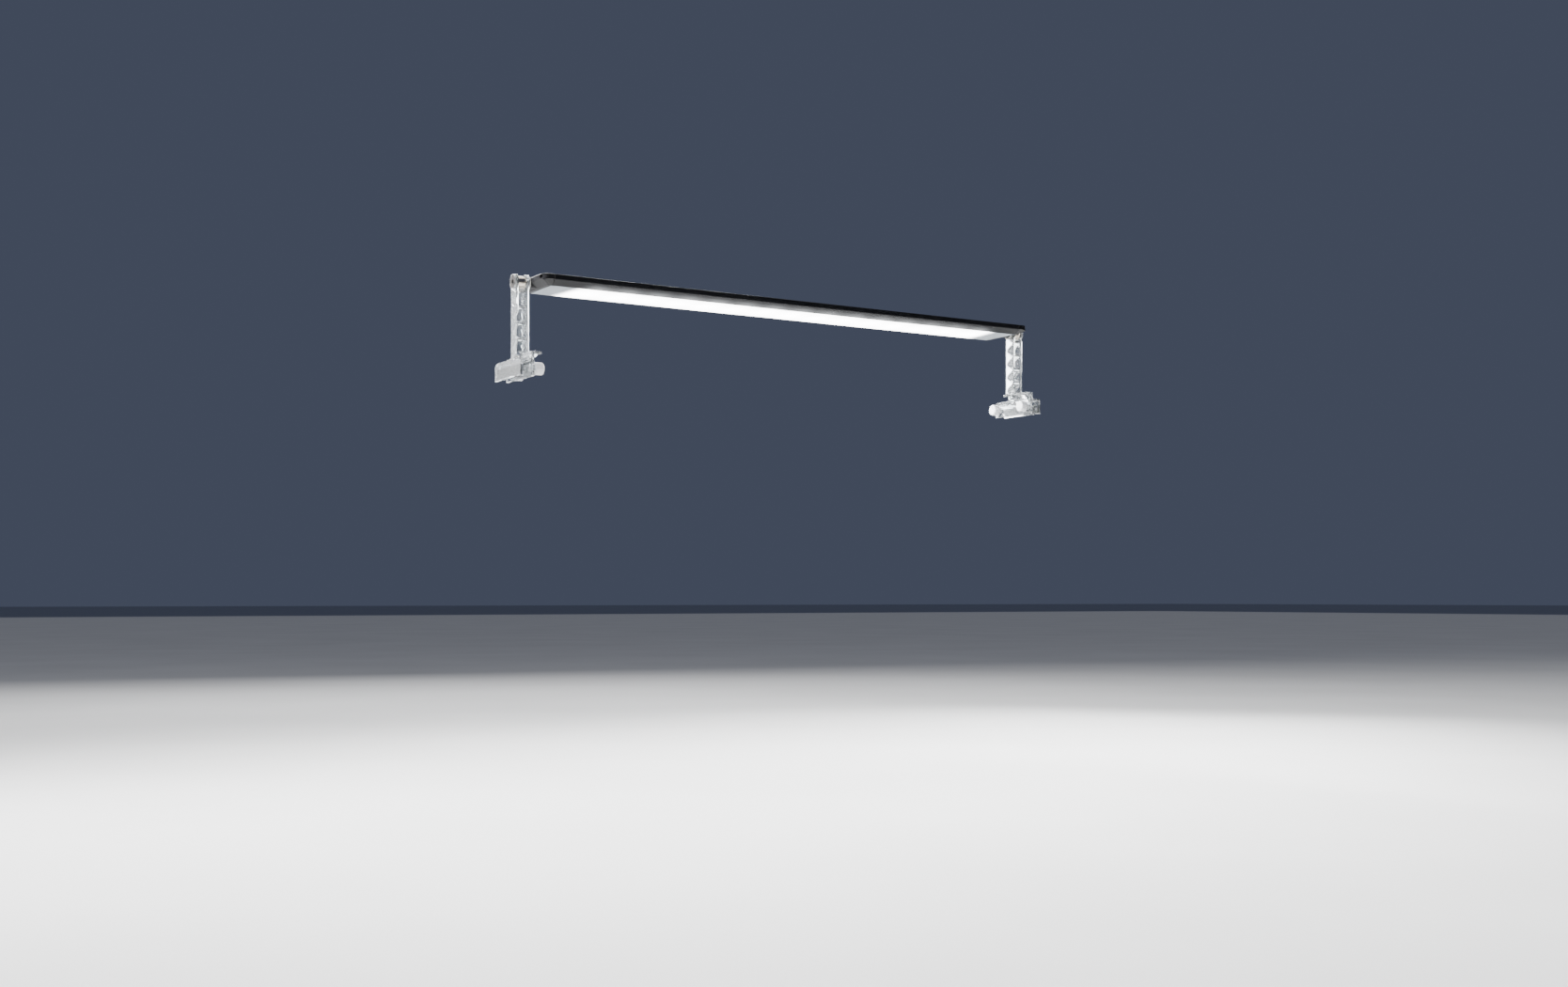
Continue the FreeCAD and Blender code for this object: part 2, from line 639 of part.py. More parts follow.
def header_hole(name, low, high, room):
    """Tool that clears the pin header by the given room."""
    return block(
        name,
        (f"link_x - link_long / 2 - {room}", f"link_y - link_wide / 2 - {room}", low),
        (f"link_x + link_long / 2 + {room}", f"link_y + link_wide / 2 + {room}", high),
    )


def pin_rods(name, low, high, radius):
    return [
        rod(f"{name}_{index}", "z", (f"link_x {sign} link_pitch / 2", "link_y", low),
            f"({high}) - ({low})", radius)
        for index, sign in enumerate(("-", "+"))
    ]


def make_light_engine():
    half_length = "board_length / 2"
    half_width = "board_width / 2"
    pad_sheet = block("pad_sheet", (f"-{half_length}", f"-{half_width}", BOARD_TOP),
                      (half_length, half_width, DECK_LOW))
    opening = header_hole("pad_opening", f"{BOARD_TOP} - 1", f"{DECK_LOW} + 1", "link_gap")
    node(cut("thermal_pad", pad_sheet, opening), "thermal_pad")

    board = block("board_plate", (f"-{half_length}", f"-{half_width}", BOARD_LOW),
                  (half_length, half_width, BOARD_TOP))
    ways = pin_rods("board_way", f"{BOARD_LOW} - 1", f"{BOARD_TOP} + 1", "link_pin + pin_room")
    node(cut("led_board", board, *ways), "led_board")

    chips = []
    windows = [block("sheet_pin_window",
                     ("link_x - link_pitch", "link_y - 1.2", f"{BOARD_LOW} - 2"),
                     ("link_x + link_pitch", "link_y + 1.2", f"{BOARD_LOW} + 1"))]
    for index in range(CHIP_COUNT):
        x = f"({index - CHIP_COUNT // 2}) * chip_pitch"
        chips.append(block(f"chip_{index}",
                           (f"{x} - chip_size / 2", "-chip_size / 2", f"{BOARD_LOW} - chip_thick"),
                           (f"{x} + chip_size / 2", "chip_size / 2", BOARD_LOW)))
        windows.append(block(f"chip_window_{index}",
                             (f"{x} - sheet_hole / 2", "-sheet_hole / 2", f"{BOARD_LOW} - 2"),
                             (f"{x} + sheet_hole / 2", "sheet_hole / 2", f"{BOARD_LOW} + 1")))
    node(group("led_chips", chips), "led_chips")

    resistors = []
    long, wide, tall = RESISTOR_SIZE
    for index in range(RESISTOR_COUNT):
        x = f"({index - (RESISTOR_COUNT - 1) / 2}) * chip_pitch * {CHIPS_PER_RESISTOR}"
        low = (f"{x} - {long / 2}", f"resistor_side - {wide / 2}", f"{BOARD_LOW} - {tall}")
        high = (f"{x} + {long / 2}", f"resistor_side + {wide / 2}", BOARD_LOW)
        resistors.append(block(f"resistor_{index}", low, high))
        windows.append(block(f"resistor_window_{index}",
                             (f"{x} - {long}", f"resistor_side - {wide}", f"{BOARD_LOW} - 2"),
                             (f"{x} + {long}", f"resistor_side + {wide}", f"{BOARD_LOW} + 1")))
    node(group("board_resistors", resistors), "board_resistors")

    film = block("film", (f"-{half_length}", f"-{half_width}", f"{BOARD_LOW} - sheet_thick"),
                 (half_length, half_width, BOARD_LOW))
    node(cut("reflector_sheet", film, *windows), "reflector_sheet")


# ---------------------------------------------------------------- power inlet

def make_inlet():
    low_x = "inlet_x - inlet_length / 2"
    high_x = "inlet_x + inlet_length / 2"
    shell = block("inlet_shell", (low_x, INLET_FRONT, INLET_LOW), (high_x, "inlet_rear", INLET_TOP))
    hollow = block("inlet_hollow",
                   (f"{low_x} + inlet_wall", f"{INLET_FRONT} + inlet_wall", f"{INLET_LOW} - 1"),
                   (f"{high_x} - inlet_wall", "inlet_rear - inlet_wall", f"{INLET_TOP} - inlet_roof"))
    posts = []
    shanks = []
    heads = []
    screws = []
    for index, sign in enumerate(("-", "+")):
        x = f"inlet_x {sign} (inlet_length / 2 - post_inset)"
        posts.append(rod(f"inlet_post_{index}", "z", (x, POST_Y, INLET_LOW), "inlet_tall - post_gap",
                         "post_radius"))
        shanks.append(rod(f"post_bore_{index}", "z", (x, POST_Y, f"{INLET_LOW} - 1"),
                          "inlet_tall + 2", "inlet_screw_radius + screw_room"))
        heads.append(rod(f"post_sink_{index}", "z", (x, POST_Y, f"{INLET_TOP} - inlet_head_thick"),
                         "inlet_head_thick + 1", "inlet_head_radius + screw_room"))
        shank = rod(f"inlet_screw_shank_{index}", "z", (x, POST_Y, f"{DECK_LOW} + deck_skin"),
                    f"{INLET_TOP} - inlet_head_thick - {DECK_LOW} - deck_skin", "inlet_screw_radius")
        head = rod(f"inlet_screw_head_{index}", "z", (x, POST_Y, f"{INLET_TOP} - inlet_head_thick"),
                   "inlet_head_thick", "inlet_head_radius")
        blank = fuse(f"inlet_screw_blank_{index}", shank, head)
        cross = [block(f"inlet_drive_{index}_{turn}",
                       (f"{x} - {long}", f"{POST_Y} - {wide}", f"{INLET_TOP} - cross_deep"),
                       (f"{x} + {long}", f"{POST_Y} + {wide}", f"{INLET_TOP} + 1"))
                 for turn, (long, wide) in enumerate((("cross_long", "cross_wide"),
                                                      ("cross_wide", "cross_long")))]
        screws.append(cut(f"inlet_screw_{index}", blank, *cross))
    jack_z = f"{TOP} + jack_rise"
    jack_hole = rod("jack_hole", "y", ("jack_x", "inlet_rear - inlet_wall - 1", jack_z),
                    "inlet_wall + 2", "jack_radius")
    hollow_shell = cut("inlet_hollow_shell", shell, hollow)
    with_posts = fuse("inlet_with_posts", hollow_shell, *posts)
    bored = cut("inlet_bored", with_posts, *shanks, *heads, jack_hole)
    node(bored, "inlet_housing")
    node(group("inlet_screws", screws), "inlet_screws")

    seal = block("seal_plate", (low_x, INLET_FRONT, TOP), (high_x, "inlet_rear", INLET_LOW))
    seal_way = block("seal_way",
                     (f"{low_x} + seal_land", f"{INLET_FRONT} + inlet_wall", f"{TOP} - 1"),
                     (f"{high_x} - seal_land", "inlet_rear - inlet_wall", f"{INLET_LOW} + 1"))
    seal_holes = [rod(f"seal_hole_{index}", "z",
                      (f"inlet_x {sign} (inlet_length / 2 - post_inset)", POST_Y, f"{TOP} - 1"),
                      "inlet_seal + 2", "inlet_screw_radius + screw_room")
                  for index, sign in enumerate(("-", "+"))]
    node(cut("inlet_gasket", seal, seal_way, *seal_holes), "inlet_gasket")

    start = f"inlet_rear + nut_thick - jack_length"
    barrel = rod("jack_barrel", "y", ("jack_x", start, jack_z), "jack_length", "jack_radius")
    socket = rod("jack_socket", "y", ("jack_x", "inlet_rear + nut_thick - jack_depth", jack_z),
                 "jack_depth + 1", "jack_bore")
    pin = rod("jack_pin_rod", "y", ("jack_x", "inlet_rear + nut_thick - jack_depth - pin_root", jack_z),
              "jack_depth + pin_root - pin_recess", "jack_pin")
    node(fuse("dc_inlet", cut("jack_tube", barrel, socket), pin), "dc_inlet")
    nut = ring("inlet_nut_ring", "y", ("jack_x", "inlet_rear", jack_z), "nut_thick",
               "nut_radius", "jack_radius")
    notch = block("nut_notch",
                  ("jack_x - nut_radius - 1", "inlet_rear + nut_thick - nut_slot_deep",
                   f"{jack_z} - nut_slot"),
                  ("jack_x + nut_radius + 1", "inlet_rear + nut_thick + 1", f"{jack_z} + nut_slot"))
    notch_keep = rod("nut_notch_keep", "y", ("jack_x", "inlet_rear - 1", jack_z), "nut_thick + 2",
                     "jack_radius + screw_room")
    node(cut("inlet_nut", nut, cut("nut_notches", notch, notch_keep)), "inlet_nut")


def make_driver():
    low_x = "inlet_x - inlet_length / 2 + driver_start"
    low_y = f"{INLET_FRONT} + inlet_wall + driver_gap"
    low = (low_x, low_y, DRIVER_LOW)
    high = (f"{low_x} + driver_length", f"{low_y} + driver_width", f"{DRIVER_LOW} + board_thick")
    board = block("driver_plate", low, high)
    ways = pin_rods("driver_way", f"{DRIVER_LOW} - 1", f"{DRIVER_LOW} + board_thick + 1",
                    "link_pin + pin_room")
    node(cut("driver_board", board, *ways), "driver_board")

    top = f"{DRIVER_LOW} + board_thick"
    coil = rod("coil", "z", (f"{low_x} + coil_far", f"{low_y} + coil_deep", top), "coil_tall",
               "coil_radius")
    chip_place = (f"{low_x} + chip_far", f"{low_y} + chip_deep", top)
    chip = block("driver_chip", chip_place,
                 (f"{chip_place[0]} + chip_long", f"{chip_place[1]} + chip_wide", f"{top} + chip_tall"))
    small = []
    for index in range(CAPACITOR_COUNT):
        place = (f"{low_x} + capacitor_start + {index} * capacitor_pitch",
                 f"{low_y} + capacitor_start", top)
        small.append(block(f"capacitor_{index}", place,
                           (f"{place[0]} + capacitor_long", f"{place[1]} + capacitor_wide",
                            f"{top} + capacitor_tall")))
    node(group("driver_parts", [coil, chip] + small), "driver_parts")

    header = block("header_block",
                   ("link_x - link_long / 2", "link_y - link_wide / 2", BOARD_TOP),
                   ("link_x + link_long / 2", "link_y + link_wide / 2", DRIVER_LOW))
    pins = pin_rods("header_pin", f"{BOARD_LOW} - pin_below",
                    f"{DRIVER_LOW} + board_thick + pin_above", "link_pin")
    node(fuse("link_header", header, *pins), "link_header")


# ---------------------------------------------------------------- hinges

def make_hinge():
    axis = ("0", "hinge_height")
    seat = RECESS_FLOOR
    head = rod("hinge_head", "x", (HEAD_LOW, *axis), "hinge_head_thick", "hinge_head_radius")
    shank = rod("hinge_shank", "x", (LAMP_END, *axis), f"{HEAD_LOW} - {LAMP_END}", "shank_radius")
    thread = rod("hinge_thread", "x", (f"{LAMP_END} - thread_length", *axis), "thread_length",
                 "thread_radius")
    socket = hexagon("hinge_socket_tool", (f"{HEAD_LOW} + hinge_head_thick - hinge_socket_depth", *axis),
                     "2", "hinge_socket")
    screw = cut("hinge_screw", fuse("hinge_screw_blank", head, shank, thread), socket)
    both_sides(screw, "hinge_screw")

    spring = ring("spring_washer", "x", (f"{seat} + spring_gap", *axis), "spring_thick",
                  "hinge_head_radius", "shank_radius")
    both_sides(spring, "spring_washer")
    friction = ring("friction_washer", "x", (LAMP_END, *axis), "friction_thick", "friction_radius",
                    "shank_radius")
    both_sides(friction, "friction_washer")
    insert = ring("threaded_insert", "x", (f"{LAMP_END} - insert_inset - insert_length", *axis),
                  "insert_length", "insert_radius", "thread_radius")
    pair = [insert, mirrored(insert, "threaded_insert_left")]
    node(group("threaded_inserts", pair), "threaded_inserts")

    sleeve_start = "arm_centre - ear_half + ear_thick"
    sleeve = ring("hinge_sleeve", "x", (sleeve_start, *axis), "2 * (ear_half - ear_thick)",
                  "sleeve_radius", "ear_bore")
    both_sides(sleeve, "hinge_sleeve")


# ---------------------------------------------------------------- arm

def make_web():
    """Wavy sheet between the side plates: a sine curve given its thickness, then extruded."""
    low = NUMBERS["web_low"]
    tall = NUMBERS["web_high"] - low
    swing = NUMBERS["web_swing"]
    waves = NUMBERS["web_waves"]
    half_thick = NUMBERS["web_thick"] / 2
    half_wide = NUMBERS["arm_half"] - NUMBERS["plate_thick"] / 2
    steps = waves * WAVE_STEPS
    turn = 2 * math.pi * waves / tall
    sides = {1: [], -1: []}
    for step in range(steps + 1):
        rise = tall * step / steps
        slope = swing * turn * math.cos(turn * rise)
        scale = half_thick / math.hypot(1, slope)
        for sign in sides:
            y = swing * math.sin(turn * rise) + sign * scale
            z = low + rise - sign * scale * slope
            sides[sign].append(Vector(NUMBERS["arm_centre"] - half_wide, y, z))
    curves = []
    for points in sides.values():
        spline = Part.BSplineCurve()
        spline.interpolate(points)
        curves.append(spline.toShape())
    ends = [Part.makeLine(sides[1][index], sides[-1][index]) for index in (0, -1)]
    wire = Part.Wire(Part.__sortEdges__(curves + ends))
    web = doc.addObject("Part::Feature", "arm_web")
    web.Shape = Part.Face(wire).extrude(Vector(2 * half_wide, 0, 0))
    web.Placement = Placement()
    return web


def make_arm():
    """Two side plates with round ears, the web between them and a stepped foot."""
    axis = ("0", "hinge_height")
    pieces = [make_web()]
    plates = {
        "inner": ("arm_centre - arm_half", "arm_centre - arm_half + plate_thick", "ledge_top"),
        "outer": ("arm_centre + arm_half - plate_thick", "arm_centre + arm_half", "clamp_tall"),
    }
    ear_starts = {
        "inner": "arm_centre - ear_half",
        "outer": "arm_centre + ear_half - ear_thick",
    }
    for name, (low, high, bottom) in plates.items():
        pieces.append(block(f"arm_plate_{name}", (low, "-arm_depth / 2", bottom),
                            (high, "arm_depth / 2", "hinge_height")))
        pieces.append(rod(f"arm_ear_{name}", "x", (ear_starts[name], *axis), "ear_thick", "ear_radius"))
    pieces.append(block("arm_foot", ("arm_centre - arm_half", "-arm_depth / 2", "ledge_top"),
                        ("arm_centre + arm_half", "arm_depth / 2", "foot_top")))
    floor = "(clamp_tall - foot_recess)"
    pieces.append(block("arm_heel", (out("inner_face + foot_gap"), "-arm_depth / 2", floor),
                        (out("arm_half"), "arm_depth / 2", "foot_top")))
    pieces.append(block("arm_flange", (out("inner_face + foot_gap"), "-flange_half", "clamp_tall"),
                        (out("flange_out"), "flange_half", "clamp_tall + foot_flange")))
    solid = fuse("arm_solid", *pieces)
    bore = rod("ear_bore_tool", "x", ("arm_centre - ear_half - 1", *axis), "2 * ear_half + 2", "ear_bore")
    recess = rod("ear_recess_tool", "x", (RECESS_FLOOR, *axis), "recess_depth + 1", "recess_radius")
    pilot = rod("foot_pilot", "z", (out("foot_screw_out"), "0", f"{floor} - 1"),
                f"foot_screw_length + {PLATE_LOW} - {floor} + 1 + foot_pilot_end", "foot_screw_radius")
    both_sides(cut("arm", solid, bore, recess, pilot), "arm")


# ---------------------------------------------------------------- clamp

def make_clamp():
    """Channel over the glass, with a ledge on the tank's side that carries the arm."""
    body = new_body("clamp")
    section = new_sketch(body, "clamp_section", "XZ_Plane")
    rectangle(section, (out("inner_face - inner_thick"), "0"), (out("outer_face"), "clamp_tall"))
    pad(body, "clamp_block", section, "clamp_length", side="Symmetric")

    def end_edges(height):
        def test(edge, middle):
            across = abs(edge.tangentAt(edge.FirstParameter).x) > 0.99
            at_end = abs(abs(middle.y) - NUMBERS["clamp_length"] / 2) < 0.01
            return across and at_end and abs(middle.z - height) < 0.01
        return test

    fillet(body, "shoulder_ends", "shoulder_round", end_edges(NUMBERS["clamp_tall"]))
    fillet(body, "cheek_ends", "cheek_round", end_edges(0))
    slot = new_sketch(body, "slot_section", "XZ_Plane")
    rectangle(slot, (out("inner_face"), "-1"), (out("outer_face - outer_thick"), PLATE_LOW))
    pocket(body, "slot_cut", slot, "clamp_length + 2", side="Symmetric")

    front = "-clamp_length / 2"
    wall = new_sketch(body, "ledge_wall", "XY_Plane", "wall_low")
    rectangle(wall, (out("inner_face - inner_thick"), front), (out("inner_face"), "ledge_rear"))
    pad(body, "ledge_wall_pad", wall, "ledge_top - wall_low")
    ledge = new_sketch(body, "ledge_plan", "XY_Plane", LEDGE_LOW)
    rectangle(ledge, (out("ledge_inside"), front), (out("inner_face"), "ledge_rear"))
    pad(body, "ledge_pad", ledge, "ledge_thick")

    def is_ledge_corner(edge, middle):
        upright = abs(edge.tangentAt(edge.FirstParameter).z) > 0.99
        inside = NUMBERS["arm_centre"] + NUMBERS["ledge_inside"]
        return upright and abs(middle.x - inside) < 0.01

    fillet(body, "ledge_corner_round", "ledge_corner", is_ledge_corner)

    for name, place in (("front", "rib_front"), ("middle", "rib_middle")):
        rib = new_sketch(body, f"{name}_rib_section", "XZ_Plane", place)
        cheek = "inner_face - inner_thick"
        outline(rib, [
            (out(f"{cheek} + rib_bite"), f"{LEDGE_LOW} + rib_bite"),
            (out(f"{cheek} - rib_reach"), f"{LEDGE_LOW} + rib_bite"),
            (out(f"{cheek} + rib_bite"), f"{LEDGE_LOW} - rib_drop"),
        ])
        pad(body, f"{name}_rib", rib, "rib_wide", side="Symmetric")

    seat = new_sketch(body, "foot_seat", "XY_Plane", "clamp_tall")
    rectangle(
        seat,
        (out("inner_face"), "-arm_depth / 2 - foot_gap"),
        (out("arm_half + foot_gap"), "arm_depth / 2 + foot_gap"),
    )
    pocket(body, "foot_seat_cut", seat, "foot_recess")

    holes = new_sketch(body, "thumbscrew_holes", "YZ_Plane", out("inner_face"))
    for sign in ("-", ""):
        circle(holes, f"{sign}knob_side", "knob_height", "stem_hole")
    pocket(body, "thumbscrew_holes_cut", holes, "inner_thick")

    sunk = foot_screw_solid("clamp_sink", room="foot_screw_room")
    both_sides(cut("clamp_bored", body, sunk), "clamp")


def foot_screw_solid(name, room):
    """Countersunk screw that points up; room makes the matching hole a little wider."""
    place = (out("foot_screw_out"), "0", PLATE_LOW)
    shank = rod(f"{name}_shank", "z", place, "foot_screw_length", f"foot_screw_radius + {room}")
    head = doc.addObject("Part::Cone", f"{name}_head")
    bind(head, Radius1=f"foot_screw_head + {room}", Radius2=f"foot_screw_radius + {room}",
         Height="foot_screw_sink")
    move(head, *place)
    return fuse(name, shank, head)


def make_foot_screw():
    blank = foot_screw_solid("foot_screw_blank", room="0")
    x = out("foot_screw_out")
    cross = [block(f"foot_drive_{turn}",
                   (f"{x} - {long}", f"-{wide}", f"{PLATE_LOW} - 1"),
                   (f"{x} + {long}", wide, f"{PLATE_LOW} + foot_cross_deep"))
             for turn, (long, wide) in enumerate((("foot_cross_long", "foot_cross_wide"),
                                                  ("foot_cross_wide", "foot_cross_long")))]
    both_sides(cut("foot_screw", blank, *cross), "foot_screw")


def make_glass_pad():
    pad_strip = block("glass_pad", (out("pad_face"), "-pad_half", "pad_low"),
                      (out("outer_face - outer_thick"), "pad_half", "pad_high"))
    both_sides(pad_strip, "glass_pad")


def make_thumbscrew(end, side):
    """Thumbscrew with a fluted head inside the tank, and its soft swivel tip against the glass."""
    head_face = "inner_face - inner_thick - knob_gap"
    body = new_body(f"thumbscrew_{end}")
    profile = new_sketch(body, f"knob_profile_{end}", "XZ_Plane", f"-({side})")
    outline(profile, [
        (out(f"{head_face} - knob_length"), "knob_height"),
        (out(f"{head_face} - knob_length"), "knob_height + knob_radius - knob_round"),
        (out(f"{head_face} - knob_length + knob_round"), "knob_height + knob_radius"),
        (out(f"{head_face} - knob_round"), "knob_height + knob_radius"),
        (out(head_face), "knob_height + knob_radius - knob_round"),
        (out(head_face), "knob_height + stem_radius"),
        (out("stem_end"), "knob_height + stem_radius"),
        (out("stem_end"), "knob_height + neck_radius"),
        (out("neck_end"), "knob_height + neck_radius"),
        (out("neck_end"), "knob_height"),
    ])
    turn = body.newObject("PartDesign::Revolution", f"knob_turned_{end}")
    turn.Profile = profile
    turn.ReferenceAxis = (profile, ["Edge10"])
    turn.Angle = 360
    flutes = []
    for index in range(FLUTE_COUNT):
        angle = 360 * index / FLUTE_COUNT
        spread = "knob_radius + flute_radius * flute_out"
        flutes.append(rod(
            f"flute_{end}_{index}", "x",
            (out(f"{head_face} - knob_length - 1"),
             f"({side}) + ({spread}) * cos({angle:.4f} * 1deg)",
             f"knob_height + ({spread}) * sin({angle:.4f} * 1deg)"),
            "knob_length + 1.5", "flute_radius"))
    both_sides(cut(f"thumbscrew_cut_{end}", body, *flutes), f"thumbscrew_{end}")

    tip = rod(f"tip_{end}", "x", (out("tip_back"), side, "knob_height"), "tip_face - tip_back",
              "tip_radius")
    bore = rod(f"tip_bore_tool_{end}", "x", (out("tip_back - 1"), side, "knob_height"),
               "tip_bore_end - tip_back + 1", "tip_bore")
    both_sides(cut(f"screw_tip_{end}", tip, bore), f"screw_tip_{end}")


# ---------------------------------------------------------------- build, check, export

make_lamp_housing()
make_end_cap()
make_cap_gasket()
make_cap_screws()
make_window()
make_light_engine()
make_inlet()
make_driver()
make_hinge()
make_arm()
make_clamp()
make_foot_screw()
make_glass_pad()
make_thumbscrew("front", "-knob_side")
make_thumbscrew("rear", "knob_side")
doc.recompute()

for item in doc.Objects:
    if "Invalid" in item.State or "Error" in item.State:
        raise RuntimeError(f"{item.Label} did not build: {item.State}")
for feature in CUTS:
    before = feature.BaseFeature.Shape.Volume
    if feature.Shape.Volume > before - 1e-3:
        raise RuntimeError(f"{feature.Label} removed nothing")
for item in NODES:
    if item.Shape.isNull() or not item.Shape.isValid() or not item.Shape.Solids:
        raise RuntimeError(f"{item.Label} has no valid solid")

os.makedirs("parts", exist_ok=True)
for item in NODES:
    item.Shape.exportStep(f"parts/{item.Label}.step")
    box = item.Shape.BoundBox
    print(f"{item.Label:24s} solids {len(item.Shape.Solids):2d} volume {item.Shape.Volume:9.1f} "
          f"x {box.XMin:8.2f} {box.XMax:8.2f} y {box.YMin:7.2f} {box.YMax:7.2f} "
          f"z {box.ZMin:6.2f} {box.ZMax:6.2f}")
print(len(NODES), "nodes")
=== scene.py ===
import json
import math

import bpy
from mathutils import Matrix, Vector


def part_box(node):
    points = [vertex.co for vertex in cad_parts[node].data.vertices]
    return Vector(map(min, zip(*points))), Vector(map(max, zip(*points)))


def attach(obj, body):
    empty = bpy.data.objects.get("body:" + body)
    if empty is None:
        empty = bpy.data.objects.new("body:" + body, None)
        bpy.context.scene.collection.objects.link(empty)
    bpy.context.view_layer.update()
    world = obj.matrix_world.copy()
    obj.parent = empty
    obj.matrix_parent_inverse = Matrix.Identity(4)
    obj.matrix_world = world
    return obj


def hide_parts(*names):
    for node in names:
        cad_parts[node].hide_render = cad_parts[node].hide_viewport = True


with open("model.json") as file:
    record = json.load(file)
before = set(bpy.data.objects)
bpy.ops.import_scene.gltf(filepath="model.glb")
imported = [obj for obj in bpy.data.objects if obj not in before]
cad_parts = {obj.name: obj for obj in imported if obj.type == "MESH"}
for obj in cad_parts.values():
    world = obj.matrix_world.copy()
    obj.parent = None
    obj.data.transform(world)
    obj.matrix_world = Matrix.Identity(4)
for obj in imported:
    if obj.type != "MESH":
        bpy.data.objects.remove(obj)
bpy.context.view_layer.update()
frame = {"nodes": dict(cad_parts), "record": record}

SIDES = {"left": -1, "right": 1}
ENDS = ("front", "rear")

# ---------------------------------------------------------------- camera

CAMERA_PLACE = (-0.6647, -1.0730, -0.1500)
CAMERA_TURN = math.radians(31.6)
FOCAL_LENGTH = 38.37
SENSOR_WIDTH = 36.0
VIEW_RISE = 0.0666


def add_camera():
    """Level camera, front left of the lamp and a little below it."""
    data = bpy.data.cameras.new("camera")
    data.lens = FOCAL_LENGTH
    data.sensor_width = SENSOR_WIDTH
    data.shift_y = VIEW_RISE
    camera = bpy.data.objects.new("camera", data)
    camera.location = CAMERA_PLACE
    camera.rotation_euler = (math.radians(90), 0, -CAMERA_TURN)
    bpy.context.collection.objects.link(camera)
    bpy.context.scene.camera = camera


# ---------------------------------------------------------------- node tools

CLOUD_LOW, CLOUD_HIGH = 0.3, 0.7      # where most of a noise texture's values lie
FINE_RELIEF = 0.0001


class Nodes:
    """Short way to write one material's node tree."""

    def __init__(self, name):
        self.material = bpy.data.materials.new(name)
        self.material.use_nodes = True
        self.tree = self.material.node_tree
        self.shader = self.tree.nodes["Principled BSDF"]
        place = self.add("ShaderNodeTexCoord")
        self.place = place.outputs["Object"]

    def add(self, kind, **settings):
        """Add a node, with its own settings."""
        item = self.tree.nodes.new(kind)
        for name, amount in settings.items():
            setattr(item, name, amount)
        return item

    def join(self, source, target):
        self.tree.links.new(source, target)

    def feed(self, item, socket, amount):
        """Link a socket, or set it when the amount is a plain number or colour."""
        if isinstance(amount, bpy.types.NodeSocket):
            self.join(amount, item.inputs[socket])
        else:
            item.inputs[socket].default_value = amount

    def stretch(self, scale):
        """Place on the piece, scaled along each axis to draw a texture out."""
        mapping = self.add("ShaderNodeMapping")
        self.join(self.place, mapping.inputs["Vector"])
        mapping.inputs["Scale"].default_value = scale
        return mapping.outputs["Vector"]

    def noise(self, scale, detail=3.0, vector=None):
        texture = self.add("ShaderNodeTexNoise")
        self.join(vector or self.place, texture.inputs["Vector"])
        texture.inputs["Scale"].default_value = scale
        texture.inputs["Detail"].default_value = detail
        return texture.outputs["Fac"]

    def tones(self, source, dark, pale, low=CLOUD_LOW, high=CLOUD_HIGH):
        """Colour that goes from dark to pale as the source goes from low to high."""
        item = self.add("ShaderNodeValToRGB")
        self.join(source, item.inputs["Fac"])
        for element, spot, colour in zip(item.color_ramp.elements, (low, high), (dark, pale)):
            element.position = spot
            element.color = (*colour, 1)
        return item.outputs["Color"]

    def span(self, source, low, high, to_low, to_high, kind="LINEAR"):
        """Number that goes from to_low to to_high as the source goes from low to high."""
        item = self.add("ShaderNodeMapRange", interpolation_type=kind)
        self.join(source, item.inputs["Value"])
        item.inputs["From Min"].default_value = low
        item.inputs["From Max"].default_value = high
        item.inputs["To Min"].default_value = to_low
        item.inputs["To Max"].default_value = to_high
        return item.outputs["Result"]

    def vary(self, source, least, most):
        """Number that a cloud texture moves between two limits."""
        return self.span(source, CLOUD_LOW, CLOUD_HIGH, least, most)

    def math(self, operation, first, second=0.0, third=0.0):
        item = self.add("ShaderNodeMath", operation=operation)
        self.feed(item, 0, first)
        self.feed(item, 1, second)
        self.feed(item, 2, third)
        return item.outputs[0]

    def axis(self, letter):
        item = self.add("ShaderNodeSeparateXYZ")
        self.join(self.place, item.inputs[0])
        return item.outputs[letter]

    def bump(self, height, strength, distance=FINE_RELIEF, below=None):
        item = self.add("ShaderNodeBump")
        self.join(height, item.inputs["Height"])
        item.inputs["Strength"].default_value = strength
        item.inputs["Distance"].default_value = distance
        if below:
            self.join(below, item.inputs["Normal"])
        return item.outputs["Normal"]

    def set(self, **amounts):
        """Set or link sockets of the shader; an underscore stands for a space."""
        for name, amount in amounts.items():
            self.feed(self.shader, name.replace("_", " "), amount)


# ---------------------------------------------------------------- materials

WINDOW_EDGE = 0.0013      # window's flange inside the lamp, on each side
UNLIT_END = 0.0260        # window past the last LEDs, at each end
CHIP_PITCH = 0.024        # spacing of the light's beats along the window
WINDOW_GLOW = 14.0
WINDOW_FADE = 0.012       # how far the light dies away past the last LEDs
# painted light: an emission glow on the housing's underside stands in for the light the LEDs spill on it
PAINTED_GLOW_HEIGHT = 0.0036     # how far up the sloped underside the painted glow of spilled light reaches
PAINTED_GLOW_STRENGTH = 0.5
PAINTED_GLOW_START = 0.012       # where the painted glow of spilled light starts to die away, before the last LEDs
PAINTED_GLOW_END = 0.010         # and where it has gone, past them

window_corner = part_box("diffuser_window")[1]
LIT_HALF = window_corner.x - UNLIT_END
WINDOW_HALF = window_corner.y - WINDOW_EDGE
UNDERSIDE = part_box("lamp_housing")[0].z


def grey(amount):
    return (amount, amount, amount)


def led_beat(make, along):
    """Wave along the lamp that peaks at each LED."""
    return make.math("COSINE", make.math("MULTIPLY", along, 2 * math.pi / CHIP_PITCH))


